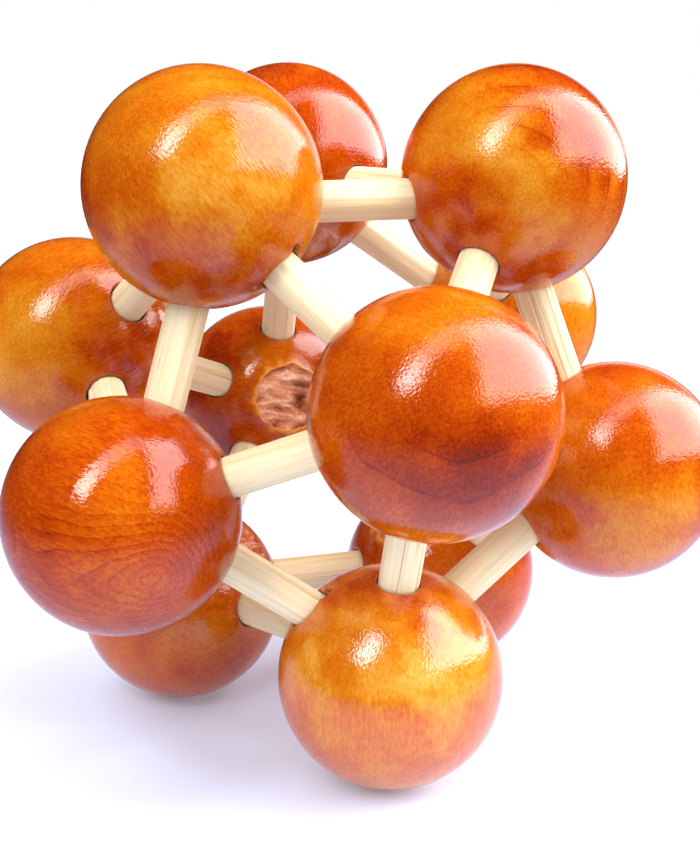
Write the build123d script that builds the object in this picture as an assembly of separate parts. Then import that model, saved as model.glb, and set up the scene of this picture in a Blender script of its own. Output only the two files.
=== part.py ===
from build123d import *
import math
import os

# A ball-and-rod cage puzzle: twelve wooden balls at the corners of a regular icosahedron and
# thirty round rods along its edges. Each rod is glued into one ball and slides in a blind hole
# of the next. The cage stands on three balls: +Z is up, the front is -Y, and the origin is on
# the floor under the middle of the cage. All sizes are in millimetres.

# Driving dimensions
BALL_DIAMETER = 28.0
BALL_SPACING = 39.2  # between the centres of neighbouring balls
ROD_DIAMETER = 5.0
ROD_CHAMFER = 0.4
AIM_SCALE = 0.932  # the rods' axes are the edges of an icosahedron this much smaller
ROD_END_DISTANCE = 7.0  # from the point that a ball's five rods aim at, to their ends
SLIDING_CLEARANCE = 0.1  # radial, between a rod and the hole that it slides in
END_GAP = 0.3  # between a sliding rod's end and the bottom of its hole
MOUTH_ROUNDING = 0.35
SPOT_DIAMETER = 9.8  # the rough spot where each ball was parted from its stock
SPOT_DEPTH = 1.3  # below the top of the sphere

BALL_RADIUS = BALL_DIAMETER / 2
ROD_RADIUS = ROD_DIAMETER / 2
GOLDEN_RATIO = (1 + math.sqrt(5)) / 2

# The balls lie on four level rings of three. Heights are from the middle of the cage.
END_RING_RADIUS = BALL_SPACING / math.sqrt(3)
END_RING_HEIGHT = END_RING_RADIUS * GOLDEN_RATIO**2 / 2
MIDDLE_RING_RADIUS = END_RING_RADIUS * GOLDEN_RATIO
MIDDLE_RING_HEIGHT = END_RING_RADIUS / (2 * GOLDEN_RATIO)
CAGE_MIDDLE = Vector(0, 0, END_RING_HEIGHT + BALL_RADIUS)

# Ball: (ring radius, height over the cage's middle, azimuth in degrees from +X)
BALL_PLACES = {
    "bottom_front": (END_RING_RADIUS, -END_RING_HEIGHT, -90),
    "bottom_right": (END_RING_RADIUS, -END_RING_HEIGHT, 30),
    "bottom_left": (END_RING_RADIUS, -END_RING_HEIGHT, 150),
    "lower_left": (MIDDLE_RING_RADIUS, -MIDDLE_RING_HEIGHT, -150),
    "lower_right": (MIDDLE_RING_RADIUS, -MIDDLE_RING_HEIGHT, -30),
    "lower_back": (MIDDLE_RING_RADIUS, -MIDDLE_RING_HEIGHT, 90),
    "upper_front": (MIDDLE_RING_RADIUS, MIDDLE_RING_HEIGHT, -90),
    "upper_right": (MIDDLE_RING_RADIUS, MIDDLE_RING_HEIGHT, 30),
    "upper_left": (MIDDLE_RING_RADIUS, MIDDLE_RING_HEIGHT, 150),
    "top_left": (END_RING_RADIUS, END_RING_HEIGHT, -150),
    "top_right": (END_RING_RADIUS, END_RING_HEIGHT, -30),
    "top_back": (END_RING_RADIUS, END_RING_HEIGHT, 90),
}

# Ball: the neighbours that its glued rods slide into
RODS_CARRIED = {
    "upper_front": ("top_left", "lower_left", "bottom_front", "lower_right", "top_right"),
    "lower_left": ("bottom_front", "upper_left", "bottom_left"),
    "bottom_front": ("lower_right", "bottom_left", "bottom_right"),
    "lower_right": ("top_right", "bottom_right", "upper_right"),
    "top_right": ("top_left", "upper_right", "top_back"),
    "top_left": ("lower_left", "top_back", "upper_left"),
    "upper_left": ("bottom_left", "lower_back"),
    "bottom_left": ("bottom_right", "lower_back"),
    "bottom_right": ("upper_right", "lower_back"),
    "upper_right": ("top_back", "lower_back"),
    "top_back": ("upper_left", "lower_back"),
    "lower_back": (),
}


def offset_from_middle(name):
    """The ball's centre, as seen from the middle of the cage."""
    radius, height, azimuth = BALL_PLACES[name]
    angle = math.radians(azimuth)
    return Vector(radius * math.cos(angle), radius * math.sin(angle), height)


def ball_centre(name):
    return CAGE_MIDDLE + offset_from_middle(name)


def aim_point(name):
    """Where the axes of the ball's five rods meet: a little inward of its centre."""
    return CAGE_MIDDLE + offset_from_middle(name) * AIM_SCALE


def neighbours(name):
    """Each neighbour of the ball, and whether the rod between them slides in this ball."""
    carried = [(other, False) for other in RODS_CARRIED[name]]
    received = [(other, True) for other, names in RODS_CARRIED.items() if name in names]
    return carried + received


def rod_plane(name, other):
    """A plane at the end of the rod to the other ball, inside this one, facing that ball."""
    direction = (aim_point(other) - aim_point(name)).normalized()
    return Plane(origin=aim_point(name) + direction * ROD_END_DISTANCE, z_dir=direction)


def blank_ball(name):
    """The ball with its rough spot facing the cage's middle, and its seam between two holes."""
    inward = -offset_from_middle(name).normalized()
    first_other = neighbours(name)[0][0]
    away = ball_centre(name) - ball_centre(first_other)
    plane = Plane(origin=ball_centre(name), x_dir=away - inward * away.dot(inward), z_dir=inward)
    spot = Cylinder(SPOT_DIAMETER / 2, BALL_RADIUS, align=(Align.CENTER, Align.CENTER, Align.MIN))
    spot = Pos(0, 0, BALL_RADIUS - SPOT_DEPTH) * spot
    return plane * (Sphere(BALL_RADIUS) - spot)


def drilled_hole(name, other, slides):
    """The drill that cuts one blind hole, wider and a little deeper where the rod slides."""
    radius = ROD_RADIUS + (SLIDING_CLEARANCE if slides else 0)
    gap = END_GAP if slides else 0
    drill = Cylinder(radius, BALL_RADIUS + gap, align=(Align.CENTER, Align.CENTER, Align.MIN))
    return rod_plane(name, other) * (Pos(0, 0, -gap) * drill)


def ball(name):
    """The drilled ball, with the mouths of its holes rounded over."""
    solid = blank_ball(name)
    for other, slides in neighbours(name):
        solid -= drilled_hole(name, other, slides)
    return fillet(solid.edges().filter_by(GeomType.BSPLINE), MOUTH_ROUNDING)


def rod(name, other):
    """The rod between two balls, from its glued end to its sliding end."""
    length = (aim_point(other) - aim_point(name)).length - 2 * ROD_END_DISTANCE
    blank = Cylinder(ROD_RADIUS, length, align=(Align.CENTER, Align.CENTER, Align.MIN))
    blank = chamfer(blank.edges().filter_by(GeomType.CIRCLE), ROD_CHAMFER)
    return rod_plane(name, other) * blank


os.makedirs("parts", exist_ok=True)
for name, others in RODS_CARRIED.items():
    export_step(ball(name), f"parts/{name}_ball.step")
    for other in others:
        export_step(rod(name, other), f"parts/{name}_to_{other}_rod.step")
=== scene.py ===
import math
import random

import bpy
import numpy as np
from mathutils import Matrix, Vector, geometry, noise


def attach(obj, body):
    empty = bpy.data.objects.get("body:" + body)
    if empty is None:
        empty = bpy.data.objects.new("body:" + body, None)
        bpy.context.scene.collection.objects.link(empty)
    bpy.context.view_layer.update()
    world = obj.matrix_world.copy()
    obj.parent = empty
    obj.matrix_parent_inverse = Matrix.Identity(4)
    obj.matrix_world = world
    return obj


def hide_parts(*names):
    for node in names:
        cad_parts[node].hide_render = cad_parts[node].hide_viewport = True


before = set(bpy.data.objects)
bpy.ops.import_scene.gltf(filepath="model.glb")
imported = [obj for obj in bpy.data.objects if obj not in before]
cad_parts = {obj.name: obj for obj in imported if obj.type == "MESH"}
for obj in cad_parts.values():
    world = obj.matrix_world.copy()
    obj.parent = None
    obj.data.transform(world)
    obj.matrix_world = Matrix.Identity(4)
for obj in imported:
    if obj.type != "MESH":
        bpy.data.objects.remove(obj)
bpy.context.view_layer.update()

# The looks of a wooden ball-and-rod cage puzzle: twelve lacquered balls and thirty bare rods,
# each built as its own mesh in the place of its CAD node. Lengths are in metres. Patterns inside
# the materials are in millimetres, and a noise's scale is in cells per millimetre.

# Driving dimensions, as in the CAD model
MM = 0.001
BALL_RADIUS = 14 * MM
BALL_SPACING = 39.2 * MM
ROD_RADIUS = 2.5 * MM
ROD_CHAMFER = 0.4 * MM
AIM_SCALE = 0.932  # the rods' axes are the edges of an icosahedron this much smaller
ROD_END_DISTANCE = 7 * MM  # from the point that a ball's five rods aim at, to their ends
SPOT_RADIUS = 4.9 * MM  # the rough spot where each ball was parted from its stock
SPOT_FLOOR = 12.7 * MM  # its height over the ball's centre

# Holes, as they are drilled and worn
GLUED_HOLE_RADIUS = 2.56 * MM
SLIDING_HOLE_RADIUS = 2.66 * MM
END_GAP = 0.3 * MM
LIP_ROUNDING = 0.3 * MM
LIP_BENDS = (18, 36, 54, 72, 90)  # degrees round the lip, from the ball's surface into the hole
BORE_SHARES = (0.15, 0.45, 1.0)  # of the way down the bore, where its rings are
CHIP_GRAIN = 0.5 * MM  # the size of the ragged steps in a chipped lip
CHIP_RAGGEDNESS = 0.5
CHIP_FADE = 0.4  # the outer share of a chip, where the lacquer still thins out

# The turned surface
TURNING_WOBBLE = 0.0025  # how far it falls short of a true sphere, as a share
WOBBLE_SIZE = 9 * MM
POINT_SPACING = 0.5 * MM
FEATURE_CLEARANCE = 2.0 * POINT_SPACING  # kept free of scattered points, round each ring of points
POLE_CLEARANCE = 1.6 * POINT_SPACING
POLE_SEGMENTS = 12
MOUTH_SEGMENTS = 72
MOUTH_COLLARS = (0.5 * POINT_SPACING, 1.2 * POINT_SPACING)  # rings of points outside each mouth
TRIANGLE_HEIGHT = math.cos(math.radians(30))  # of an even-sided triangle, as a share of its side

# The parting spot, and the torn wood in it
SPOT_POINT_SPACING = 0.17 * MM
SPOT_SEGMENTS = 110
SPOT_GRID_GAP = 1.2 * SPOT_POINT_SPACING  # between the grid's edge and the spot's
SPOT_RINGS = (-0.12 * MM, 0, 0.2 * MM, 1.2 * POINT_SPACING)  # from the spot's edge outward
SPOT_RELIEF = 0.45 * MM
STAINED_RELIEF = 0.4  # the relief of a spot that is full of stain, as a share
FLOOR_INSET = 0.05 * MM  # from the spot's edge to its torn floor
RIM_WIDTH = 0.9 * MM  # of the worn edge round the spot
RIM_RAGGEDNESS = 0.5 * MM
RIM_GRAIN = 1.3 * MM
RIM_BARENESS = (1.4, 0.9, -0.2)  # how bare it is at the spot, how far noise changes that, and offset
RIDGE_SHAPE = (0.9, 2.1, 4, 1.0, 2.0)  # the ridged noise's falloff, lacunarity, octaves, offset, gain
RIDGE_MIDDLE = 1.2  # about its mean value
RIDGE_SHARE, SPLINTER_SHARE, LUMP_SHARE = 0.75, 0.2, 1.1
RIDGE_SIZE = (3.4 * MM, 1.15 * MM)  # along the grain, and across it
LUMP_SIZE = (2.6 * MM, 1.5 * MM)
SPLINTER_SIZE = 0.35 * MM
# The torn attribute follows the relief, so its colour is painted light on the ridges and painted shade
# down in the tears.
MIDDLE_TEAR, TEAR_RANGE = 0.62, 0.38  # the torn attribute runs from 0, a worn edge, to 1, a tear

# The shaved rods
ROD_SEGMENTS = 96
ROD_RINGS = 24
ROD_FACETS = 7
FACET_DISTANCE = (0.958, 0.992)  # from the rod's axis to a shaved flat, as a share of its radius
FACET_SLOPE = 0.012
FIBRE_DEPTH = 0.008  # as a share of the rod's radius
FIBRE_SPREAD = 5  # how fast the fibres change round the rod
FIBRE_DRIFT = 1.5  # and along its whole length
FIBRE_LEVEL = 0.7  # added to the noise, so that the fibres cut into the rod
LEAST_COSINE = 0.2  # a flat reaches no farther round the rod than this

GOLDEN_RATIO = (1 + math.sqrt(5)) / 2
END_RING_RADIUS = BALL_SPACING / math.sqrt(3)
END_RING_HEIGHT = END_RING_RADIUS * GOLDEN_RATIO**2 / 2
MIDDLE_RING_RADIUS = END_RING_RADIUS * GOLDEN_RATIO
MIDDLE_RING_HEIGHT = END_RING_RADIUS / (2 * GOLDEN_RATIO)
CAGE_RADIUS = math.hypot(END_RING_RADIUS, END_RING_HEIGHT)
CAGE_MIDDLE = Vector((0, 0, END_RING_HEIGHT + BALL_RADIUS))
AIM_OFFSET = CAGE_RADIUS * (1 - AIM_SCALE)
HOLE_TILT = math.acos(BALL_SPACING / 2 / CAGE_RADIUS)  # from the way to the cage's middle
HOLE_COUNT = 5
MOUTH_RADIUS = SLIDING_HOLE_RADIUS + LIP_ROUNDING

RING_HEIGHTS = {"bottom": -END_RING_HEIGHT, "lower": -MIDDLE_RING_HEIGHT,
                "upper": MIDDLE_RING_HEIGHT, "top": END_RING_HEIGHT}
RING_AZIMUTHS = {"bottom": {"front": -90, "right": 30, "left": 150},
                 "lower": {"left": -150, "right": -30, "back": 90},
                 "upper": {"front": -90, "right": 30, "left": 150},
                 "top": {"left": -150, "right": -30, "back": 90}}

CAMERA_PLACE = Vector((-54.1, -176.2, 87.7)) * MM
CAMERA_TARGET = Vector((1.1, -2.6, 35.0)) * MM
CAMERA_LENS = 59.9  # on a 36 mm frame, long side
CAMERA_SHIFT_UP = 0.05
CAMERA_CLIP = 0.01


# ---------------------------------------------------------------- layout

def cage_offsets():
    """Ball name to its centre, as seen from the middle of the cage."""
    offsets = {}
    for ring, sides in RING_AZIMUTHS.items():
        radius = END_RING_RADIUS if ring in ("bottom", "top") else MIDDLE_RING_RADIUS
        for side, azimuth in sides.items():
            angle = math.radians(azimuth)
            offsets[f"{ring}_{side}"] = Vector(
                (radius * math.cos(angle), radius * math.sin(angle), RING_HEIGHTS[ring]))
    return offsets


OFFSETS = cage_offsets()
RODS = sorted(tuple(node.removesuffix("_rod").split("_to_"))
              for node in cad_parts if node.endswith("_rod"))


def aim_point(name):
    """Where the axes of the ball's five rods meet."""
    return CAGE_MIDDLE + OFFSETS[name] * AIM_SCALE


def neighbours(name):
    """Each neighbour of the ball, and whether the rod between them slides in this ball."""
    found = {other: False for first, other in RODS if first == name}
    found.update({first: True for first, other in RODS if other == name})
    return found


def camera_axes():
    """The camera's right, up and backward directions."""
    back = (CAMERA_PLACE - CAMERA_TARGET).normalized()
    right = Vector((0, 0, 1)).cross(back).normalized()
    return right, back.cross(right), back


# ---------------------------------------------------------------- ball mesh

def even_directions(spacing):
    """Unit vectors in a spiral over the whole sphere, about spacing apart on the ball."""
    count = int(4 * math.pi * (BALL_RADIUS / spacing) ** 2 / TRIANGLE_HEIGHT)
    index = np.arange(count) + 0.5
    height = 1 - 2 * index / count
    turn = index * math.tau * GOLDEN_RATIO
    flat = np.sqrt(1 - height * height)
    return np.column_stack([flat * np.cos(turn), flat * np.sin(turn), height])


def hole_frames():
    """For each hole of a ball whose +Z points to the cage's middle: two sides and the axis."""
    frames = []
    for k in range(HOLE_COUNT):
        azimuth = math.tau * k / HOLE_COUNT
        axis = np.array([math.sin(HOLE_TILT) * math.cos(azimuth),
                         math.sin(HOLE_TILT) * math.sin(azimuth), math.cos(HOLE_TILT)])
        side = np.array([-math.sin(azimuth), math.cos(azimuth), 0.0])
        frames.append((side, np.cross(axis, side), axis))
    return frames


HOLES = hole_frames()
AIM = np.array([0, 0, AIM_OFFSET])


def ring_angles(count):
    return np.arange(count) * math.tau / count


def spokes(hole):
    """Unit vectors all round a hole's axis."""
    side, other, _ = HOLES[hole]
    angle = ring_angles(MOUTH_SEGMENTS)
    return np.outer(np.cos(angle), side) + np.outer(np.sin(angle), other)


def surface_ring(hole, radius, depth=0.0):
    """A ring about a hole's axis, at a depth under the ball's surface."""
    axis = HOLES[hole][2]
    start = AIM + spokes(hole) * radius
    inward = start @ axis
    reach = np.sqrt(inward**2 - (start**2).sum(1) + BALL_RADIUS**2) - inward - depth
    return start + reach[:, None] * axis


def floor_ring(hole, radius, distance):
    """A flat ring about a hole's axis, at a distance from the point that the holes aim at."""
    return AIM + spokes(hole) * radius + distance * HOLES[hole][2]


def level_ring(radius, height_sign, count):
    """A ring of points on the ball, about its Z axis."""
    angle = ring_angles(count)
    height = height_sign * math.sqrt(BALL_RADIUS**2 - radius**2)
    return np.column_stack([radius * np.cos(angle), radius * np.sin(angle),
                            np.full(count, height)])


def spot_grid():
    """Points on the ball over the parting spot, in a tight triangular grid."""
    step = SPOT_POINT_SPACING
    edge = SPOT_RADIUS - SPOT_GRID_GAP
    reach = int(SPOT_RADIUS / step) + 2
    grid = [((i + 0.5 * (j % 2)) * step, j * step * TRIANGLE_HEIGHT)
            for i in range(-reach, reach) for j in range(-reach, reach)]
    flat = np.array([place for place in grid if math.hypot(*place) < edge])
    height = np.sqrt(BALL_RADIUS**2 - (flat**2).sum(1))
    return np.column_stack([flat, height])


def far_from_features(points):
    """Which of the points lie clear of the holes, the parting spot and the far pole."""
    keep = points[:, 2] > -BALL_RADIUS * math.cos(POLE_CLEARANCE / BALL_RADIUS)
    flat = np.hypot(points[:, 0], points[:, 1])
    keep &= (points[:, 2] < 0) | (flat > SPOT_RADIUS + FEATURE_CLEARANCE)
    for _, _, axis in HOLES:
        off = points - AIM
        reach = off @ axis
        away = np.linalg.norm(off - np.outer(reach, axis), axis=1)
        keep &= (reach < 0) | (away > MOUTH_RADIUS + FEATURE_CLEARANCE)
    return keep


def template_points():
    """Every point on the sphere but the far pole: the five mouths come first. Also the index of
    the first point of the ring round the far pole."""
    blocks = [surface_ring(hole, MOUTH_RADIUS) for hole in range(HOLE_COUNT)]
    for hole in range(HOLE_COUNT):
        blocks += [surface_ring(hole, MOUTH_RADIUS + collar) for collar in MOUTH_COLLARS]
    blocks += [level_ring(SPOT_RADIUS + outward, 1, SPOT_SEGMENTS) for outward in SPOT_RINGS]
    blocks.append(spot_grid())
    pole_ring = sum(len(block) for block in blocks)
    blocks.append(level_ring(POINT_SPACING, -1, POLE_SEGMENTS))
    spread = even_directions(POINT_SPACING) * BALL_RADIUS
    blocks.append(spread[far_from_features(spread)])
    return np.vstack(blocks), pole_ring


def ball_template():
    """Points on the sphere, triangles between them, and the first point of each hole's mouth.
    The triangles come from a flat Delaunay mesh of the sphere, as seen from its far pole."""
    points, pole_ring = template_points()
    mouths = [hole * MOUTH_SEGMENTS for hole in range(HOLE_COUNT)]
    mouths_end = HOLE_COUNT * MOUTH_SEGMENTS
    loops = [(start + i, start + (i + 1) % MOUTH_SEGMENTS)
             for start in mouths for i in range(MOUTH_SEGMENTS)]
    unit = points / BALL_RADIUS
    flat = unit[:, :2] / (1 + unit[:, 2:])
    made = geometry.delaunay_2d_cdt([Vector(place) for place in flat], loops, [], 0, 1e-9)
    source = [origin[0] for origin in made[3]]
    faces = []
    for face in made[2]:
        corners = [source[v] for v in face]
        one_mouth = len({corner // MOUTH_SEGMENTS for corner in corners}) == 1
        if max(corners) >= mouths_end or not one_mouth:
            faces.append(corners)
    pole = len(points)
    faces += [(pole, pole_ring + (i + 1) % POLE_SEGMENTS, pole_ring + i)
              for i in range(POLE_SEGMENTS)]
    return np.vstack([points, [[0, 0, -BALL_RADIUS]]]), faces, mouths


TEMPLATE_POINTS, TEMPLATE_FACES, MOUTHS = ball_template()


def bore_rings(hole, radius, end):
    """The rounded lip and the blind bore of one hole, as rings from the mouth inward, and a last
    point in the middle of its floor."""
    lip = MOUTH_RADIUS - radius
    rings = []
    for bend in LIP_BENDS:
        bend = math.radians(bend)
        outward = lip * (1 - math.sin(bend))
        rings.append(surface_ring(hole, radius + outward, lip * (1 - math.cos(bend))))
    mouth_end = rings[-1]
    floor = floor_ring(hole, radius, end)
    rings += [mouth_end + (floor - mouth_end) * share for share in BORE_SHARES]
    rings.append(floor_ring(hole, radius / 2, end))
    rings.append((AIM + HOLES[hole][2] * end)[None, :])
    return rings


def break_chip(points, hole, toward, reach, depth):
    """Sink the points near one side of a hole's mouth, where a flake of the lip is missing. The
    bore's wall under it is squeezed towards the bore's end. Returns how bare each point is left."""
    side, other, axis = HOLES[hole]
    turn = int(round(math.atan2(toward @ other, toward @ side) / math.tau * MOUTH_SEGMENTS))
    centre = surface_ring(hole, MOUTH_RADIUS)[turn % MOUTH_SEGMENTS]
    below = (centre - points) @ axis
    bore_length = (centre - AIM) @ axis - ROD_END_DISTANCE
    level = points + np.outer(below, axis)
    away = np.linalg.norm(level - centre, axis=1) / reach
    bare = np.zeros(len(points))
    for i in np.nonzero((away < 1) & (below < bore_length))[0]:
        ragged = 1 + CHIP_RAGGEDNESS * noise.noise(Vector(level[i] / CHIP_GRAIN))
        left = 1 - max(0.0, below[i]) / bore_length
        points[i] -= axis * depth * ragged * (1 - away[i] ** 3) * left
        bare[i] = min(1.0, (1 - away[i]) / CHIP_FADE)
    return bare


def spot_relief(point, grain, seed):
    """How high a parting spot's torn floor stands at a point, from -1, a tear, to 1, a ridge."""
    across = np.cross(grain, (0, 0, 1.0))
    lengthwise = np.cross((0, 0, 1.0), across)
    u, v = point @ lengthwise, point @ across
    place = Vector((u / RIDGE_SIZE[0], v / RIDGE_SIZE[1], seed))
    ridges = noise.ridged_multi_fractal(place, *RIDGE_SHAPE) - RIDGE_MIDDLE
    splinters = noise.noise(Vector(point / SPLINTER_SIZE) + Vector((seed, 0, 0)))
    lumps = noise.noise(Vector((u / LUMP_SIZE[0], v / LUMP_SIZE[1], seed + 3)))
    height = RIDGE_SHARE * ridges + SPLINTER_SHARE * splinters + LUMP_SHARE * lumps
    return max(-1.0, min(1.0, height))


def ball_rotation(name):
    """The turn from the template's frame to the cage's: +Z to the middle, +X by a neighbour."""
    inward = -OFFSETS[name].normalized()
    first = sorted(neighbours(name))[0]
    toward = OFFSETS[first] - OFFSETS[name]
    side = (toward - inward * toward.dot(inward)).normalized()
    return Matrix((side, inward.cross(side), inward)).transposed()


def tear_spot(points, grain, look, seed):
    """Sink and roughen a ball's parting spot, with a ragged worn edge. Returns how torn the wood is at
    each point, which follows the relief and so paints light on the ridges and shade in the tears, and
    how little lacquer is left on it."""
    torn_and_shade, bare = np.zeros(len(points)), np.zeros(len(points))
    flat = np.hypot(points[:, 0], points[:, 1])
    inner, uneven, offset = RIM_BARENESS
    relief_share = STAINED_RELIEF + (1 - STAINED_RELIEF) * look["bare"]
    for i in np.nonzero((points[:, 2] > 0) & (flat < SPOT_RADIUS + RIM_WIDTH))[0]:
        rim = 1 - max(0.0, flat[i] - SPOT_RADIUS) / RIM_WIDTH
        ragged = noise.noise(Vector(points[i] / RIM_GRAIN) + Vector((0, seed, 0)))
        relief = spot_relief(points[i], grain, seed)
        points[i, :2] *= 1 + ragged * rim * RIM_RAGGEDNESS / SPOT_RADIUS
        if flat[i] < SPOT_RADIUS - FLOOR_INSET:
            points[i, 2] = SPOT_FLOOR + relief * SPOT_RELIEF * relief_share
            # Painted light and shade: the colour follows the relief, pale on the ridges and dark in the
            # tears.
            torn_and_shade[i] = MIDDLE_TEAR - TEAR_RANGE * relief
            bare[i] = look["bare"]
        else:
            points[i, 2] = math.sqrt(BALL_RADIUS**2 - (points[i, :2] ** 2).sum())
            bare[i] = look["bare"] * min(1.0, max(0.0, inner * rim + uneven * ragged + offset))
    return torn_and_shade, bare


def hole_partners(name, turn):
    """Hole number to the ball at the other end of its rod, and whether that rod slides in it."""
    partners = {}
    for other, slides in neighbours(name).items():
        direction = np.array(aim_point(other) - aim_point(name)) @ turn
        hole = int(np.argmax([axis @ direction for _, _, axis in HOLES]))
        partners[hole] = (other, slides)
    return partners


def wobble(points, seed):
    """The points, sunk a little here and there, as on a ball that was turned by hand."""
    swells = [noise.noise(Vector(point / WOBBLE_SIZE) + Vector((seed, seed, 0))) for point in points]
    return points * (1 - TURNING_WOBBLE * (0.5 + 0.5 * np.array(swells)))[:, None]


def ball_points(name, look, seed):
    """Every point of one ball in the template's frame. With them come how torn the wood is at each, from
    a worn edge to the bottom of a tear, with painted shade in the tears and chips, and how little
    lacquer is left on it."""
    turn = np.array(ball_rotation(name))
    partners = hole_partners(name, turn)
    surface = TEMPLATE_POINTS.copy()
    torn_and_shade, bare = tear_spot(surface, np.array(look["grain"]) @ turn, look, seed)
    blocks = [surface]
    for hole in range(HOLE_COUNT):
        slides = partners[hole][1]
        radius = SLIDING_HOLE_RADIUS if slides else GLUED_HOLE_RADIUS
        blocks += bore_rings(hole, radius, ROD_END_DISTANCE - (END_GAP if slides else 0))
    points = np.vstack(blocks)
    torn_and_shade.resize(len(points))
    bare.resize(len(points))
    for to, toward, reach, depth in look["chips"]:
        hole = next(k for k, (other, _) in partners.items() if other == to)
        chipped = break_chip(points, hole, np.array(toward) @ turn, reach * MM, depth * MM)
        # Painted shade: a chip takes the darkest colour, that of the bottom of a tear.
        torn_and_shade[chipped > 0] = 1.0
        bare = np.maximum(bare, chipped)
    return wobble(points, seed), torn_and_shade, bare


def ball_faces():
    """The template's triangles and then the faces of each hole, and each face's material: 0 for
    lacquer, and 1 for the bare bore, which starts where the lip ends."""
    faces = [tuple(face) for face in TEMPLATE_FACES]
    slots = [0] * len(faces)
    ring_count = len(LIP_BENDS) + len(BORE_SHARES) + 1
    start = len(TEMPLATE_POINTS)
    for mouth in MOUTHS:
        starts = [mouth] + [start + k * MOUTH_SEGMENTS for k in range(ring_count)]
        for k, (outer, inner) in enumerate(zip(starts, starts[1:])):
            for i in range(MOUTH_SEGMENTS):
                j = (i + 1) % MOUTH_SEGMENTS
                faces.append((outer + i, outer + j, inner + j, inner + i))
                slots.append(0 if k < len(LIP_BENDS) else 1)
        last = starts[-1]
        centre = last + MOUTH_SEGMENTS
        for i in range(MOUTH_SEGMENTS):
            faces.append((last + i, last + (i + 1) % MOUTH_SEGMENTS, centre))
            slots.append(1)
        start = centre + 1
    return faces, slots


BALL_FACES, BALL_SLOTS = ball_faces()


def make_object(name, points, faces, slots, materials, smooth_angle):
    """A smooth-shaded mesh object, with its faces shared out over its materials."""
    mesh = bpy.data.meshes.new(name)
    mesh.from_pydata([tuple(point) for point in points], [], faces)
    for material in materials:
        mesh.materials.append(material)
    mesh.polygons.foreach_set("material_index", slots)
    mesh.shade_smooth()
    mesh.set_sharp_from_angle(angle=math.radians(smooth_angle))
    mesh.update()
    made = bpy.data.objects.new(name, mesh)
    bpy.context.scene.collection.objects.link(made)
    return made


def make_ball(name, look, seed, materials):
    points, torn_and_shade, bare = ball_points(name, look, seed)
    turn = np.array(ball_rotation(name))
    made = make_object(f"{name}_ball_turned", points @ turn.T, BALL_FACES, BALL_SLOTS, materials,
                       smooth_angle=38)
    for label, values in (("torn_and_shade", torn_and_shade), ("bare", bare)):
        made.data.attributes.new(label, "FLOAT", "POINT").data.foreach_set("value", values)
    made.location = CAGE_MIDDLE + OFFSETS[name]
    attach(made, name)
    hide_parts(f"{name}_ball")


# ---------------------------------------------------------------- rod mesh

def rod_radii(angle, share, flats, seed):
    """The rod's radius at each angle round it, as a share of ROD_RADIUS. share is the place along
    the rod, from -0.5 to 0.5."""
    radius = np.full(ROD_SEGMENTS, 1.0)
    for place, distance, slope in flats:
        off = np.angle(np.exp(1j * (angle - place)))
        cut = (distance + slope * share) / np.maximum(np.cos(off), LEAST_COSINE)
        radius = np.minimum(radius, cut)
    for i, a in enumerate(angle):
        place = (math.cos(a) * FIBRE_SPREAD, math.sin(a) * FIBRE_SPREAD, seed + share * FIBRE_DRIFT)
        radius[i] -= FIBRE_DEPTH * (noise.noise(Vector(place)) + FIBRE_LEVEL)
    return radius


def rod_points(length, rng):
    """The rings of one rod, shaved flat here and there along its length, and its two ends."""
    angle = ring_angles(ROD_SEGMENTS)
    flats = [(rng.uniform(0, math.tau), rng.uniform(*FACET_DISTANCE),
              rng.uniform(-FACET_SLOPE, FACET_SLOPE)) for _ in range(ROD_FACETS)]
    seed = rng.uniform(0, 90)
    inner = np.linspace(2 * ROD_CHAMFER, length - 2 * ROD_CHAMFER, ROD_RINGS)
    rings = []
    for z in [0, ROD_CHAMFER, *inner, length - ROD_CHAMFER, length]:
        radius = rod_radii(angle, z / length - 0.5, flats, seed)
        if min(z, length - z) < ROD_CHAMFER / 2:
            radius = radius - ROD_CHAMFER / ROD_RADIUS
        rings.append(np.column_stack([np.cos(angle) * radius * ROD_RADIUS,
                                      np.sin(angle) * radius * ROD_RADIUS,
                                      np.full(ROD_SEGMENTS, z)]))
    ends = np.array([[0, 0, 0], [0, 0, length]])
    return np.vstack(rings + [ends]), len(rings)


def rod_faces(ring_count):
    """Quads along the rod, in material 0, and a fan over each end, in material 1."""
    faces, slots = [], []
    for ring in range(ring_count - 1):
        low, high = ring * ROD_SEGMENTS, (ring + 1) * ROD_SEGMENTS
        for i in range(ROD_SEGMENTS):
            j = (i + 1) % ROD_SEGMENTS
            faces.append((low + i, low + j, high + j, high + i))
            slots.append(0)
    last, bottom = (ring_count - 1) * ROD_SEGMENTS, ring_count * ROD_SEGMENTS
    for i in range(ROD_SEGMENTS):
        j = (i + 1) % ROD_SEGMENTS
        faces += [(bottom, j, i), (bottom + 1, last + i, last + j)]
        slots += [1, 1]
    return faces, slots


def make_rod(first, other, seed, materials):
    """The rod glued into the first ball, from its end inside that ball."""
    rng = random.Random(seed)
    axis = aim_point(other) - aim_point(first)
    length = axis.length - 2 * ROD_END_DISTANCE
    axis.normalize()
    points, ring_count = rod_points(length, rng)
    faces, slots = rod_faces(ring_count)
    node = f"{first}_to_{other}_rod"
    made = make_object(f"{node}_shaved", points, faces, slots, materials, smooth_angle=30)
    place = Matrix.Translation(aim_point(first) + axis * ROD_END_DISTANCE)
    spin = Matrix.Rotation(rng.uniform(0, math.tau), 4, "Z")
    made.matrix_world = place @ axis.to_track_quat("Z", "Y").to_matrix().to_4x4() @ spin
    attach(made, first)
    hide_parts(node)


# ---------------------------------------------------------------- material building

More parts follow.
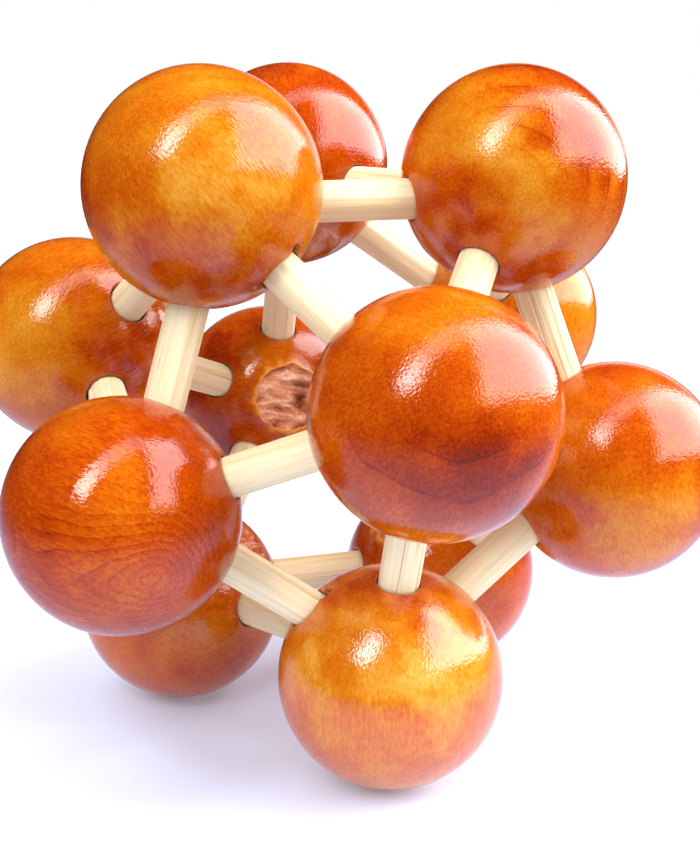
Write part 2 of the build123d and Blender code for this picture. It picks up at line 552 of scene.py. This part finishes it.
def new_node(tree, kind, inputs=None, **settings):
    """A shader node with its settings made and its inputs set or linked."""
    made = tree.nodes.new(kind)
    for key, value in settings.items():
        setattr(made, key, value)
    for key, value in (inputs or {}).items():
        if isinstance(value, bpy.types.NodeSocket):
            tree.links.new(value, made.inputs[key])
        else:
            made.inputs[key].default_value = value
    return made


def calc(tree, operation, a, b=0.0):
    return new_node(tree, "ShaderNodeMath", {0: a, 1: b}, operation=operation).outputs[0]


def multiply_add(tree, value, factor, offset=0.0):
    """value times factor, plus offset."""
    inputs = {0: value, 1: factor, 2: offset}
    return new_node(tree, "ShaderNodeMath", inputs, operation="MULTIPLY_ADD").outputs[0]


def centred(tree, value, spread):
    """A value from 0 to 1, moved and scaled to run over this spread about 0."""
    return multiply_add(tree, value, spread, -spread / 2)


def soft_step(tree, value, low, high):
    inputs = {"Value": value, 1: low, 2: high}
    return new_node(tree, "ShaderNodeMapRange", inputs, interpolation_type="SMOOTHSTEP").outputs[0]


def vector_calc(tree, operation, a, b):
    return new_node(tree, "ShaderNodeVectorMath", {0: a, 1: b}, operation=operation).outputs[0]


def length_of(tree, vector):
    return new_node(tree, "ShaderNodeVectorMath", {0: vector}, operation="LENGTH").outputs["Value"]


def reach_along(tree, vector, direction):
    """How far the vector reaches in a direction."""
    inputs = {0: vector, 1: direction}
    return new_node(tree, "ShaderNodeVectorMath", inputs, operation="DOT_PRODUCT").outputs["Value"]


def blend_colour(tree, factor, a, b, kind="MIX"):
    inputs = {0: factor, 6: a, 7: b}
    return new_node(tree, "ShaderNodeMix", inputs, data_type="RGBA", blend_type=kind).outputs[2]


def ramp(tree, factor, stops, interpolation="LINEAR"):
    """A colour ramp with the given (position, colour) stops."""
    made = new_node(tree, "ShaderNodeValToRGB", {0: factor})
    made.color_ramp.interpolation = interpolation
    elements = made.color_ramp.elements
    while len(elements) < len(stops):
        elements.new(0.5)
    for element, (place, colour) in zip(elements, stops):
        element.position = place
        element.color = (*colour, 1)
    return made.outputs[0]


def grey_ramp(tree, factor, stops, interpolation="LINEAR"):
    return ramp(tree, factor, [(place, (v, v, v)) for place, v in stops], interpolation)


def noise_of(tree, vector, scale, detail=3.0, roughness=0.55, distortion=0.0):
    inputs = {"Vector": vector, "Scale": scale, "Detail": detail, "Roughness": roughness,
              "Distortion": distortion}
    return new_node(tree, "ShaderNodeTexNoise", inputs).outputs[0]


def stretched_noise(tree, vector, scales, detail, roughness):
    """Noise with its own scale along each axis."""
    return noise_of(tree, vector_calc(tree, "MULTIPLY", vector, scales), 1.0, detail, roughness)


def millimetres(tree, shift=(0, 0, 0)):
    """The piece's own coordinates in millimetres, moved by shift."""
    where = new_node(tree, "ShaderNodeTexCoord").outputs["Object"]
    grown = vector_calc(tree, "SCALE", where, (0, 0, 0))
    grown.node.inputs["Scale"].default_value = 1 / MM
    return vector_calc(tree, "ADD", grown, shift)


def grain_frame(tree, where, grain, pith):
    """Coordinates whose Z runs along the grain, with the pith of the tree as their axis."""
    turn = Vector(grain).rotation_difference(Vector((0, 0, 1)))
    offset = turn @ Vector(pith)
    inputs = {"Vector": where, "Rotation": turn.to_euler(), "Location": -offset}
    return new_node(tree, "ShaderNodeMapping", inputs, vector_type="POINT").outputs[0]


def bumped(tree, height, strength, distance):
    inputs = {"Strength": strength, "Distance": distance, "Height": height}
    return new_node(tree, "ShaderNodeBump", inputs).outputs[0]


def start_material(name):
    material = bpy.data.materials.new(name)
    material.use_nodes = True
    tree = material.node_tree
    tree.nodes.clear()
    return material, tree


def finish_material(tree, inputs):
    shader = new_node(tree, "ShaderNodeBsdfPrincipled", inputs)
    output = new_node(tree, "ShaderNodeOutputMaterial")
    tree.links.new(shader.outputs[0], output.inputs["Surface"])


# ---------------------------------------------------------------- ball materials

# The stain's colour, from where it took darkest to where it stayed palest
STAIN = [(0.00, (0.100, 0.009, 0.002)), (0.20, (0.25, 0.020, 0.001)), (0.36, (0.40, 0.048, 0.001)),
         (0.50, (0.51, 0.105, 0.002)), (0.64, (0.58, 0.19, 0.006)), (0.80, (0.66, 0.30, 0.035)),
         (1.00, (0.74, 0.44, 0.10))]
STAIN_RANGE = 1.25  # the level of the palest
# Bare wood, from the worn edge of a parting spot, over its ridges, to the bottoms of its tears. Past the
# worn edge this is painted light and shade: pale pink on the ridges, near black in the tears and in the
# chips.
TORN_WOOD_AND_RELIEF_SHADE = [(0.10, (0.80, 0.35, 0.05)), (0.28, (0.95, 0.66, 0.48)), (0.55, (0.74, 0.36, 0.20)),
             (0.80, (0.52, 0.17, 0.07)), (1.00, (0.12, 0.02, 0.008))]
BORE_WOOD = [(0.3, (0.20, 0.07, 0.02)), (0.7, (0.46, 0.22, 0.08))]

# Stretched noises: scales across, across and along the grain, then detail and roughness
FLECKS = ((3.0, 3.0, 0.8), 3, 0.65)
GRIT = ((5.0, 5.0, 2.0), 2, 0.6)
PEEL = ((3.4, 3.4, 1.5), 1, 0.5)
BRUSHING = ((5.0, 5.0, 0.5), 1, 0.5)
CLOUDS = (0.075, 2, 0.5, 0.3)  # scale, detail, roughness and distortion
SMALL_CLOUDS = (0.35, 3)  # scale and detail, as in the three below
EDGE_DRIFT = (0.16, 3)
RING_WANDER = (0.12, 1)
RING_GAPS = (0.16, 2)
SWELLING = (0.6, 1)

# How far each pattern changes the stain's level, or lifts the lacquer
CLOUD_SPREAD = 0.6
SMALL_CLOUD_SPREAD = 0.22
FLECK_SPREAD = 0.55
GRIT_SPREAD = 0.30
DRIFT_SPREAD = 9  # millimetres by which the noise moves a patch's edge
SWELLING_HEIGHT = 0.4
GLOSS_RELIEF = 0.035 * MM

# Growth rings, over the share of the way from one to the next
RING_BAND = [(0.0, 0.3), (0.15, 0.0), (0.9, 1.0), (1.0, 0.3)]
RING_LINE = [(0.90, 0.0), (0.95, 1.0), (0.98, 1.0), (1.0, 0.0)]
RING_TAPER = 0.12  # how much the rings narrow along the grain
RING_SIDE = (4.0, 10.0)  # millimetres from the ball's middle, where rings start, and are all there
RING_GAP_EDGE = (0.36, 0.60)


def ring_pattern(tree, where, grown, look):
    """Growth rings: how dark the wood is between its rings, and the thin dark line of each."""
    radius = length_of(tree, vector_calc(tree, "MULTIPLY", grown, (1, 1, RING_TAPER)))
    wander = centred(tree, noise_of(tree, grown, *RING_WANDER), look["wander"])
    phase = calc(tree, "DIVIDE", calc(tree, "ADD", radius, wander), look["ring_spacing"])
    share = calc(tree, "FRACT", phase)
    band = grey_ramp(tree, share, RING_BAND, "EASE")
    line = grey_ramp(tree, share, RING_LINE)
    side = soft_step(tree, reach_along(tree, where, look["rings_toward"]), *RING_SIDE)
    fade = soft_step(tree, noise_of(tree, grown, *RING_GAPS), *RING_GAP_EDGE)
    shown = calc(tree, "MULTIPLY", side, fade)
    return calc(tree, "MULTIPLY", band, side), calc(tree, "MULTIPLY", line, shown)


def drifting(tree, where, shifted):
    """The coordinates, moved by noise, so that a patch's edge wanders."""
    scale, detail = EDGE_DRIFT
    inputs = {"Vector": shifted, "Scale": scale, "Detail": detail}
    drift = new_node(tree, "ShaderNodeTexNoise", inputs).outputs["Color"]
    drift = vector_calc(tree, "SUBTRACT", drift, (0.5, 0.5, 0.5))
    return vector_calc(tree, "ADD", where, vector_calc(tree, "MULTIPLY", drift, (DRIFT_SPREAD,) * 3))


def stain_and_sheen_level(tree, where, shifted, look):
    """How pale the stain is: slow clouds about the ball's own tone, and its named patches, which on
    bottom_front are partly painted highlight.
    """
    clouds = noise_of(tree, shifted, *CLOUDS)
    level = multiply_add(tree, clouds, CLOUD_SPREAD, look["tone"] - CLOUD_SPREAD / 2)
    small = centred(tree, noise_of(tree, shifted, *SMALL_CLOUDS), SMALL_CLOUD_SPREAD)
    level = calc(tree, "ADD", level, small)
    moved = drifting(tree, where, shifted)
    surface = BALL_RADIUS / MM
    for direction, reach, strength in look["patches"]:
        edge = surface * math.cos(math.radians(reach))
        mask = soft_step(tree, reach_along(tree, moved, direction), edge, surface)
        level = calc(tree, "ADD", level, calc(tree, "MULTIPLY", mask, strength))
    return level


def stain_and_shade_colour(tree, level, band, line, look):
    """The stain's colour at a level, darker in the rings, and bare or torn wood where it is gone, with
    painted light on the torn ridges and painted shade in the tears and chips.
    """
    level = calc(tree, "SUBTRACT", level, calc(tree, "MULTIPLY", band, look["ring_strength"]))
    level = calc(tree, "SUBTRACT", level, calc(tree, "MULTIPLY", line, look["line_strength"]))
    colour = ramp(tree, multiply_add(tree, level, 1 / STAIN_RANGE), STAIN)
    torn_and_shade = new_node(tree, "ShaderNodeAttribute", attribute_name="torn_and_shade").outputs["Fac"]
    bare = new_node(tree, "ShaderNodeAttribute", attribute_name="bare").outputs["Fac"]
    return blend_colour(tree, bare, colour, ramp(tree, torn_and_shade, TORN_WOOD_AND_RELIEF_SHADE))


def ball_material(name, look, seed):
    """Stained, lacquered wood: clouds, flecks and rings, under a gloss with fine grain in it."""
    material, tree = start_material(f"lacquered_{name}")
    where = millimetres(tree)
    shifted = vector_calc(tree, "ADD", where, (seed * 7.3, seed * 3.1, seed * 5.7))
    grown = grain_frame(tree, where, look["grain"], look["pith"])
    offset = vector_calc(tree, "ADD", grown, (seed, seed, 0))
    band, line = ring_pattern(tree, where, grown, look)
    flecks = centred(tree, stretched_noise(tree, offset, *FLECKS), FLECK_SPREAD)
    grit = centred(tree, stretched_noise(tree, offset, *GRIT), GRIT_SPREAD)
    level = calc(tree, "ADD", stain_and_sheen_level(tree, where, shifted, look), flecks)
    colour = stain_and_shade_colour(tree, calc(tree, "ADD", level, grit), band, line, look)
    swelling = multiply_add(tree, noise_of(tree, shifted, *SWELLING), SWELLING_HEIGHT)
    relief = calc(tree, "ADD", stretched_noise(tree, offset, *PEEL), swelling)
    brushed = multiply_add(tree, stretched_noise(tree, offset, *BRUSHING), look["brushing"])
    relief = calc(tree, "ADD", relief, brushed)
    relief = calc(tree, "SUBTRACT", relief, multiply_add(tree, line, look["groove"]))
    bump = bumped(tree, relief, 1.0, GLOSS_RELIEF)
    finish_material(tree, {
        "Base Color": colour, "Roughness": 0.5, "Normal": bump, "Specular IOR Level": 0.0,
        "Coat Weight": 1.0, "Coat Roughness": 0.07, "Coat IOR": look["gloss"], "Coat Normal": bump,
    })
    return material


def bore_material():
    """The bare, drilled inside of a hole: paler wood with stain soaked in at places."""
    material, tree = start_material("bare_bore")
    where = millimetres(tree)
    colour = ramp(tree, noise_of(tree, where, 1.1, 4), BORE_WOOD)
    bump = bumped(tree, noise_of(tree, where, 3.3, 3), 0.5, 0.1 * MM)
    finish_material(tree, {"Base Color": colour, "Roughness": 0.8, "Normal": bump})
    return material


# ---------------------------------------------------------------- rod materials

ROD_WOOD = [(0.34, (0.76, 0.59, 0.29)), (0.47, (0.86, 0.74, 0.45)), (0.60, (0.91, 0.83, 0.56))]
LINE_COLOUR = (0.38, 0.20, 0.07, 1)
END_GRAIN = [(0.10, (0.42, 0.25, 0.11)), (0.30, (0.74, 0.56, 0.33)), (0.7, (0.82, 0.67, 0.43))]
ROD_STREAKS = (0.30, 0.95, 0.22, 0.25, 0.12)  # one rod material for each

# Stretched noises: scales across, across and along the rod, then detail and roughness
ROD_BANDS = ((0.8, 0.8, 0.02), 2, 0.55)
ROD_FIBRES = ((4.5, 4.5, 0.10), 3, 0.6)
ROD_LINES = ((1.3, 1.3, 0.02), 1, 0.5)
LINE_COVER = ((0.9, 0.9, 0.03), 1, 0.55)

BAND_SHARE, FIBRE_SHARE = 0.6, 0.4  # of the wood's tone
LINE_WIDTH = (0.035, 0.012)  # in the noise's level, on each side of a line: from its edge inward
LINE_DARKNESS = 0.55
LINE_GROOVE = 0.7
COVER_EDGE = (0.65, 0.80)  # of the noise, where the lines start to show and do, with no streaks
COVER_GROWTH = 0.4  # how far full streaks lower that edge


def rod_side_material(seed, streaks):
    """Bare pale rod wood: fine fibres along the rod, over slow bands of tone. streaks is how much
    of it has thin dark lines, from 0, none, to 1."""
    material, tree = start_material(f"rod_side_{seed}")
    where = millimetres(tree, (seed * 11.0, seed * 4.0, seed * 17.0))
    bands = calc(tree, "MULTIPLY", stretched_noise(tree, where, *ROD_BANDS), BAND_SHARE)
    fibres = stretched_noise(tree, where, *ROD_FIBRES)
    tone = calc(tree, "ADD", bands, calc(tree, "MULTIPLY", fibres, FIBRE_SHARE))
    cover = stretched_noise(tree, where, *LINE_COVER)
    shown = soft_step(tree, cover, *(edge - COVER_GROWTH * streaks for edge in COVER_EDGE))
    away = calc(tree, "SUBTRACT", stretched_noise(tree, where, *ROD_LINES), 0.5)
    line = soft_step(tree, calc(tree, "ABSOLUTE", away), *LINE_WIDTH)
    line = calc(tree, "MULTIPLY", line, shown)
    darkness = calc(tree, "MULTIPLY", line, LINE_DARKNESS)
    colour = blend_colour(tree, darkness, ramp(tree, tone, ROD_WOOD), LINE_COLOUR)
    relief = calc(tree, "ADD", fibres, calc(tree, "MULTIPLY", line, -LINE_GROOVE))
    bump = bumped(tree, relief, 0.3, 0.08 * MM)
    finish_material(tree, {"Base Color": colour, "Roughness": 0.55, "Normal": bump})
    return material


def rod_end_material():
    """Sawn end grain: small dark fibre bundles in pale wood."""
    material, tree = start_material("rod_end_grain")
    where = vector_calc(tree, "MULTIPLY", millimetres(tree), (1, 1, 0))
    cells = new_node(tree, "ShaderNodeTexVoronoi", {"Vector": where, "Scale": 2.4}).outputs["Distance"]
    bump = bumped(tree, cells, 0.4, 0.1 * MM)
    finish_material(tree, {"Base Color": ramp(tree, cells, END_GRAIN), "Roughness": 0.8, "Normal": bump})
    return material


# ---------------------------------------------------------------- how each ball looks

DEFAULT_LOOK = {
    "pith": (6, 4, 0),  # where the middle of the tree was, in millimetres
    "ring_spacing": 3.0,  # millimetres
    "ring_strength": 0.06,  # how much darker the wood gets from one ring to the next
    "line_strength": 0.0,  # and in the thin line at each ring
    "groove": 0.0,  # how deep that line is in the lacquer
    "wander": 4,  # millimetres that the rings stray by
    "rings_toward": (0, 0, 1),  # the side of the ball that shows them
    "brushing": 0.2,  # how strong the lacquer's marks along the grain are
    "gloss": 1.5,  # the lacquer's refractive index
    "bare": 0.3,  # how little stain the parting spot took
    # Patches are mostly stain; on bottom_front two of them are painted highlight, paler stain round its
    # highlights.
    "patches": (),  # each a direction, its reach in degrees and the change of tone
    "chips": (),  # each the rod's other ball, a side of the mouth, reach and depth in millimetres
}


def ball_look(tone, grain, **changes):
    """tone: 0 dark to 1 pale. grain: the direction along the tree."""
    return {"tone": tone, "grain": grain, **DEFAULT_LOOK, **changes}


def facing(right, up):
    """The direction from a ball's centre to the point of it that shows this far to the right of
    its middle and above it, as shares of its radius, from the front left of the cage."""
    toward = math.sqrt(1 - right * right - up * up)
    sideways, upward, back = camera_axes()
    return sideways * right + upward * up + back * toward


def ball_looks():
    return {
        "top_left": ball_look(
            0.66, facing(-0.55, 0.75), brushing=0.4,
            patches=[(facing(-0.35, 0.5), 45, 0.13), (facing(0.15, 0.0), 30, 0.12),
                     (facing(0.42, -0.28), 28, 0.12), (facing(-0.1, -0.85), 42, -0.22),
                     (facing(0.55, -0.6), 16, -0.12), (facing(-0.85, 0.0), 35, -0.12)],
            chips=[("upper_front", facing(0.55, 0.7), 1.1, 2.2),
                   ("upper_front", facing(-0.6, -0.7), 0.7, 1.0)]),
        "top_right": ball_look(
            0.59, facing(-0.15, -0.25), pith=(0, 0, 0), ring_spacing=2.3, ring_strength=0.10,
            line_strength=0.24, groove=0.3, wander=1.5, rings_toward=facing(0.62, 0.62),
            patches=[(facing(-0.45, 0.4), 40, 0.20), (facing(-0.15, 0.0), 32, 0.10),
                     (facing(0.08, -0.35), 34, 0.18), (facing(-0.5, -0.4), 30, -0.16),
                     (facing(0.2, -0.85), 22, -0.16), (facing(0.5, 0.1), 24, -0.10)]),
        "top_back": ball_look(0.50, (0.1, 0.9, 0.3)),
        "upper_front": ball_look(
            0.53, facing(0.15, 0.35), pith=(0, 0, 0), ring_spacing=3.1, ring_strength=0.10,
            line_strength=0.14, groove=0.15, wander=2.5, rings_toward=facing(0.05, -0.9),
            patches=[(facing(-0.2, 0.75), 45, 0.12), (facing(0.1, -0.05), 30, -0.06),
                     (facing(0.3, -0.6), 45, -0.17)]),
        "upper_left": ball_look(
            0.62, (0.8, 0.5, 0.3),
            patches=[(facing(-0.3, -0.2), 45, 0.20), (facing(0.75, -0.1), 40, -0.25)]),
        "upper_right": ball_look(0.70, (0.3, 0.2, 0.9)),
        "lower_left": ball_look(
            0.42, facing(0.88, -0.34), pith=facing(0.33, -0.48) * (BALL_RADIUS / MM),
            ring_spacing=0.95, ring_strength=0.08, line_strength=0.20, groove=0.15, wander=3.0,
            rings_toward=facing(0.05, -0.7),
            patches=[(facing(-0.2, 0.75), 35, 0.06), (facing(0.1, 0.2), 25, 0.08)]),
        "lower_right": ball_look(
            0.52, facing(-0.3, 0.6), ring_strength=0.05,
            patches=[(facing(0.1, -0.6), 45, 0.22), (facing(-0.4, -0.5), 20, -0.15)]),
        "lower_back": ball_look(
            0.50, facing(0.95, -0.1), bare=0.92,
            patches=[(facing(0.1, 0.2), 35, 0.14), (facing(-0.55, 0.35), 25, -0.20),
                     (facing(-0.5, -0.5), 35, -0.12)]),
        "bottom_front": ball_look(
            0.66, facing(-0.05, 0.95), brushing=0.6, gloss=1.68,
            # The first two patches are painted highlight: paler stain in a halo round where the lamp and
            # the window shine on this ball.
            patches=[(facing(-0.15, 0.3), 38, 0.20), (facing(0.42, 0.30), 38, 0.20),
                     (facing(0.1, 0.8), 26, -0.14), (facing(-0.65, -0.1), 25, 0.14),
                     (facing(0.1, -0.6), 30, 0.05)],
            chips=[("lower_left", facing(0.45, 0.8), 1.2, 1.3)]),
        "bottom_left": ball_look(0.50, (0.9, 0.2, 0.2), patches=[(facing(0.2, -0.4), 40, 0.12)]),
        "bottom_right": ball_look(0.50, (0.4, 0.8, 0.4), bare=0.8),
    }


# ---------------------------------------------------------------- stage, lights and camera

TABLE_HALF_SIZE = 3.0
TABLE_REACH = (0.08, 0.26)  # from the cage, where the table starts to turn plain white, and is
TABLE_HALF_WAY = 0.088  # from the cage, where the table is half as bright in reflections
# Painted light: the table glows round the cage, TABLE_GLOW at the cage and half that at TABLE_HALF_WAY.
TABLE_GLOW = 1.5
# Painted light: some of that glow lies over the table at the cage itself, lifting its shadows.
PAINTED_TABLE_LIGHT = 0.11  # how much of the plain white there is at the cage
TABLE_TINT = (0.68, 0.77, 1.0, 1)
# Painted reflection: the table's tint as reflections show it, bluer than it is.
PAINTED_REFLECTION_TINT = (0.70, 0.80, 1.15, 1)
PLAIN_WHITE = (1.0, 0.92, 1.0, 1)
PLAIN_GLOW = 1.2  # of the plain white, to the camera
WHITE, BLACK = (1, 1, 1, 1), (0, 0, 0, 1)

# Lights. A direction is given along the camera's right, up and backward axes, and an edge is
# where the light starts and is full, in how far a ray goes along that direction.
LIGHT_TINT = (1.0, 0.965, 0.97, 1)
WINDOW_GLOW = 6.5
WINDOW_SIDES = [((0.81, -0.15, -0.57), (-0.03, 0.06)),
                ((-0.18, 0.98, -0.03), (-0.03, 0.05)),
                ((0.80, -0.36, 0.47), (-0.05, 0.06))]
LAMP_GLOW = 18
LAMP_ACROSS, LAMP_WIDTH = (-0.73, 0.325, -0.60), (0.15, 0.085)
LAMP_FRONT, LAMP_FRONT_EDGE = (-0.05, 0.84, 0.54), (0.2, 0.4)
LAMP_TOWARD = (-0.68, -0.44, 0.587)
LAMP_STREAK = [(0.20, 0.10), (0.24, 0.16), (0.50, 0.20), (0.60, 0.40), (0.70, 0.85), (0.77, 1.0),
               (0.825, 0.8), (0.85, 0.0)]
BACKDROP_TOWARD, BACKDROP_EDGE = (0.25, -0.15, -1.0), (0.74, 0.88)
BACKDROP_GLOW = 1.2
ROOM_GLOW = 0.02
FILL_GLOW = 0.75


def make_camera():
    data = bpy.data.cameras.new("camera")
    data.lens = CAMERA_LENS
    data.shift_y = CAMERA_SHIFT_UP
    data.clip_start = CAMERA_CLIP
    made = bpy.data.objects.new("camera", data)
    turn = Matrix(camera_axes()).transposed().to_4x4()
    made.matrix_world = Matrix.Translation(CAMERA_PLACE) @ turn
    bpy.context.scene.collection.objects.link(made)
    bpy.context.scene.camera = made


def seen_along(tree, direction, toward):
    """How far a world direction goes along one given by the camera's axes."""
    right, up, back = camera_axes()
    goal = (right * toward[0] + up * toward[1] + back * toward[2]).normalized()
    return reach_along(tree, direction, goal)


def window_light(tree, direction):
    """A tall window to the right, with soft edges, as a share of its full glow."""
    left, low, high = (soft_step(tree, seen_along(tree, direction, toward), *edge)
                       for toward, edge in WINDOW_SIDES)
    return calc(tree, "MULTIPLY", calc(tree, "MULTIPLY", left, low), high)


def lamp_light(tree, direction):
    """A small lamp at the upper left, with a fading streak from it to the window's top."""
    across = calc(tree, "ABSOLUTE", seen_along(tree, direction, LAMP_ACROSS))
    narrow = soft_step(tree, across, *LAMP_WIDTH)
    front = soft_step(tree, seen_along(tree, direction, LAMP_FRONT), *LAMP_FRONT_EDGE)
    place = multiply_add(tree, seen_along(tree, direction, LAMP_TOWARD), 0.5, 0.5)
    glow = grey_ramp(tree, place, LAMP_STREAK)
    return calc(tree, "MULTIPLY", calc(tree, "MULTIPLY", narrow, front), glow)


def world_colour(tree):
    """White to the camera. Elsewhere a dark room with a window and a lamp, a white backdrop behind
    the cage, and, for everything but reflections, an even fill light."""
    direction = new_node(tree, "ShaderNodeTexCoord").outputs["Generated"]
    backdrop = soft_step(tree, seen_along(tree, direction, BACKDROP_TOWARD), *BACKDROP_EDGE)
    glow = multiply_add(tree, window_light(tree, direction), WINDOW_GLOW)
    glow = calc(tree, "ADD", glow, multiply_add(tree, lamp_light(tree, direction), LAMP_GLOW))
    glow = calc(tree, "ADD", glow, multiply_add(tree, backdrop, BACKDROP_GLOW, ROOM_GLOW))
    ray = new_node(tree, "ShaderNodeLightPath")
    fill = multiply_add(tree, ray.outputs["Is Glossy Ray"], -FILL_GLOW, FILL_GLOW)
    glow = calc(tree, "ADD", glow, fill)
    grey = new_node(tree, "ShaderNodeCombineColor", {0: glow, 1: glow, 2: glow}).outputs[0]
    colour = blend_colour(tree, 1.0, grey, LIGHT_TINT, "MULTIPLY")
    return blend_colour(tree, ray.outputs["Is Camera Ray"], colour, WHITE)


def make_world():
    world = bpy.data.worlds.new("studio")
    bpy.context.scene.world = world
    world.use_nodes = True
    tree = world.node_tree
    tree.nodes.clear()
    background = new_node(tree, "ShaderNodeBackground", {"Color": world_colour(tree), "Strength": 1.0})
    output = new_node(tree, "ShaderNodeOutputWorld")
    tree.links.new(background.outputs[0], output.inputs["Surface"])


def floor_material():
    """A white table with a cool tint. Away from the cage it turns plain white to the camera. Painted
    light: it glows near the cage, and a little of that glow lies over it at the cage, lifting its
    shadows. Painted reflection: in reflections it is bluer, and fades to black away from the cage."""
    material, tree = start_material("white_table")
    away = length_of(tree, new_node(tree, "ShaderNodeTexCoord").outputs["Object"])
    plain = calc(tree, "MAXIMUM", soft_step(tree, away, *TABLE_REACH), PAINTED_TABLE_LIGHT)
    spread = calc(tree, "POWER", multiply_add(tree, away, 1 / TABLE_HALF_WAY), 2.0)
    near = calc(tree, "DIVIDE", 1.0, calc(tree, "ADD", spread, 1.0))
    ray = new_node(tree, "ShaderNodeLightPath")
    reflected, seen = ray.outputs["Is Glossy Ray"], ray.outputs["Is Camera Ray"]
    # Painted reflection: in reflections the table is bluer, and fades to black away from the cage.
    tint = blend_colour(tree, reflected, TABLE_TINT, PAINTED_REFLECTION_TINT)
    shade = calc(tree, "MULTIPLY", reflected, multiply_add(tree, near, -1.0, 1.0))
    tint = blend_colour(tree, shade, tint, BLACK)
    table = new_node(tree, "ShaderNodeBsdfDiffuse", {"Color": tint})
    # Painted light: the table glows, most near the cage.
    near_glow = multiply_add(tree, near, TABLE_GLOW)
    strength = calc(tree, "MAXIMUM", near_glow, multiply_add(tree, seen, PLAIN_GLOW))
    white = new_node(tree, "ShaderNodeEmission", {"Color": PLAIN_WHITE, "Strength": strength})
    inputs = {0: plain, 1: table.outputs[0], 2: white.outputs[0]}
    mixed = new_node(tree, "ShaderNodeMixShader", inputs)
    output = new_node(tree, "ShaderNodeOutputMaterial")
    tree.links.new(mixed.outputs[0], output.inputs["Surface"])
    return material


def make_floor():
    half = TABLE_HALF_SIZE
    corners = [(-half, -half, 0), (half, -half, 0), (half, half, 0), (-half, half, 0)]
    made = make_object("table_top", corners, [(0, 1, 2, 3)], [0], [floor_material()], smooth_angle=30)


# ---------------------------------------------------------------- everything together

def main():
    bore = bore_material()
    for seed, (name, look) in enumerate(ball_looks().items(), start=1):
        make_ball(name, look, seed, [ball_material(name, look, seed), bore])
    sides = [rod_side_material(seed, streaks) for seed, streaks in enumerate(ROD_STREAKS)]
    end_grain = rod_end_material()
    for seed, (first, other) in enumerate(RODS):
        make_rod(first, other, seed, [sides[seed % len(sides)], end_grain])
    make_floor()
    make_world()
    make_camera()
    bpy.context.scene.view_settings.view_transform = "Standard"


main()
